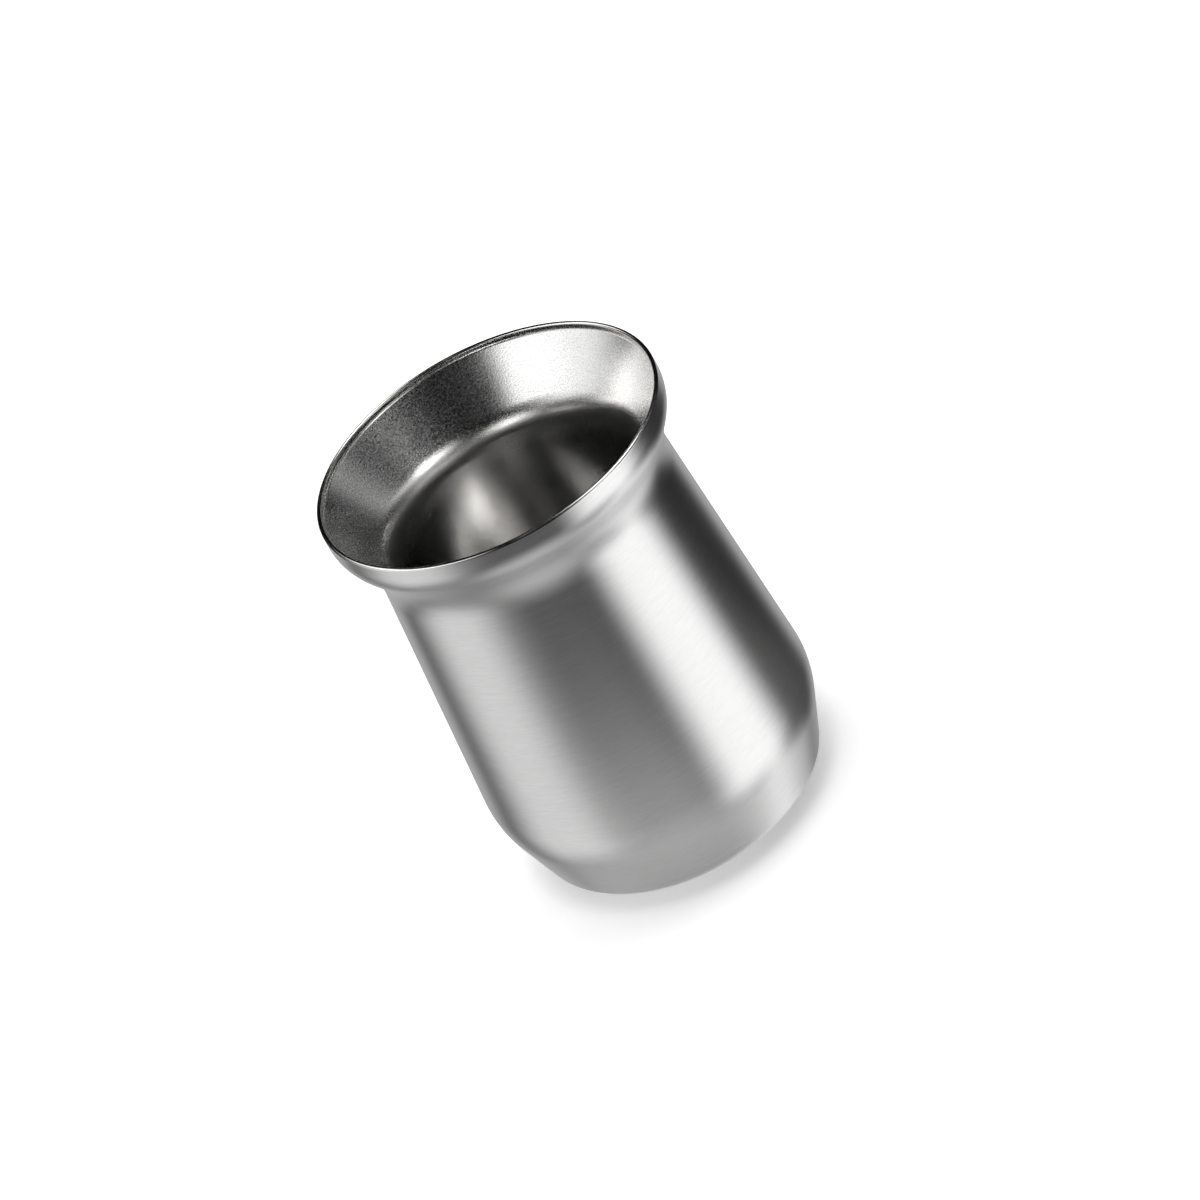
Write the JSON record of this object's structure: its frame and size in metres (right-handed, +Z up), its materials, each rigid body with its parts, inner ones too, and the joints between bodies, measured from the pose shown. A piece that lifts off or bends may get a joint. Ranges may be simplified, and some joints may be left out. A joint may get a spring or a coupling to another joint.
{
  "type": "mate cup",
  "caption": "Round double-walled steel cup for mate, with a flared mouth, a short neck, a wall that widens to a rounded belly, and a flat recessed foot.",
  "frame": {"origin": "centre of the flat foot, on the cup's axis", "axes": "+Z up along the cup's axis, from the foot to the mouth; +X towards the getter that is sealed inside the base"},
  "size_m": [0.076, 0.076, 0.0989],
  "materials": {
    "shell_steel": "satin, brushed round the axis",
    "liner_steel": "fine blasted flare over a satin wall",
    "rim_steel": "ground and polished weld bead",
    "weld_steel": "ground weld",
    "base_steel": "drawn sheet",
    "cover_steel": "satin, brushed in circles",
    "strap_steel": "cold-rolled strip",
    "copper_foil": "bright copper foil",
    "getter_alloy": "sintered powder",
    "solder_glass": "fused bead",
    "glue": "cured"
  },
  "bodies": {
    "root": {"outer_shell": "shell_steel", "inner_liner": "liner_steel", "rim_weld": "rim_steel", "inner_bottom": "liner_steel", "inner_bottom_weld": "weld_steel", "radiation_foil": "copper_foil", "vacuum_base": "base_steel", "vacuum_base_weld": "weld_steel", "seal_glass": "solder_glass", "getter_pill": "getter_alloy", "getter_strap": "strap_steel", "cover_glue": "glue", "base_cover": "cover_steel"}
  },
  "joints": []
}
